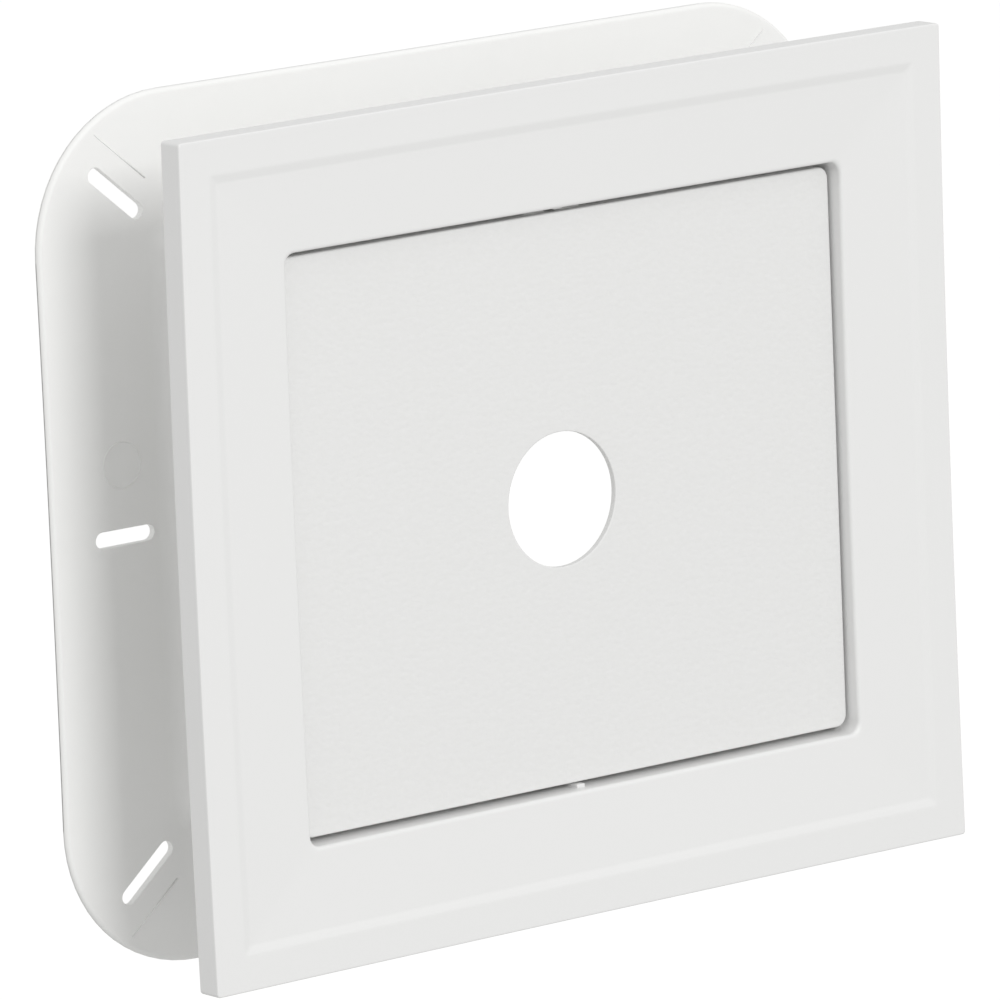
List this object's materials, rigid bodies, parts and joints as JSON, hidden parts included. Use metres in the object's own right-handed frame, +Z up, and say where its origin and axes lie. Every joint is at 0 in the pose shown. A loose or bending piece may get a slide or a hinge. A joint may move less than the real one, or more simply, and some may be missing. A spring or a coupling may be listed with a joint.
{
  "type": "siding mounting block",
  "caption": "Recessed mounting block for siding: a nailing flange, a raised box with a face panel and fixture hole, and a snap-fit rectangular trim ring that slides in to meet the siding.",
  "frame": {"origin": "centre of the block on the wall plane, which is the back of the nailing flange", "axes": "-Y out of the wall towards the front, +Z up, +X to the right seen from the front"},
  "size_m": [0.1948, 0.043, 0.1704],
  "materials": {
    "base_plastic": "satin white moulded plastic",
    "panel_plastic": "white moulded plastic with a fine grained texture",
    "ring_plastic": "smooth satin white moulded plastic"
  },
  "bodies": {
    "mounting_base": {"nailing_flange": "base_plastic", "pedestal_wall": "base_plastic", "face_panel": "panel_plastic", "ratchet_strips": "base_plastic"},
    "trim_ring": {"ring_face": "ring_plastic", "ring_skirt": "ring_plastic", "ring_collar": "ring_plastic", "ring_ribs": "ring_plastic", "snap_tongues": "ring_plastic", "guide_ribs": "ring_plastic"}
  },
  "joints": [
    {"name": "ring_slide", "type": "slide", "parent": "mounting_base", "child": "trim_ring", "axis": [0, 1, 0], "range_m": [-0.025, 0.0118]}
  ]
}
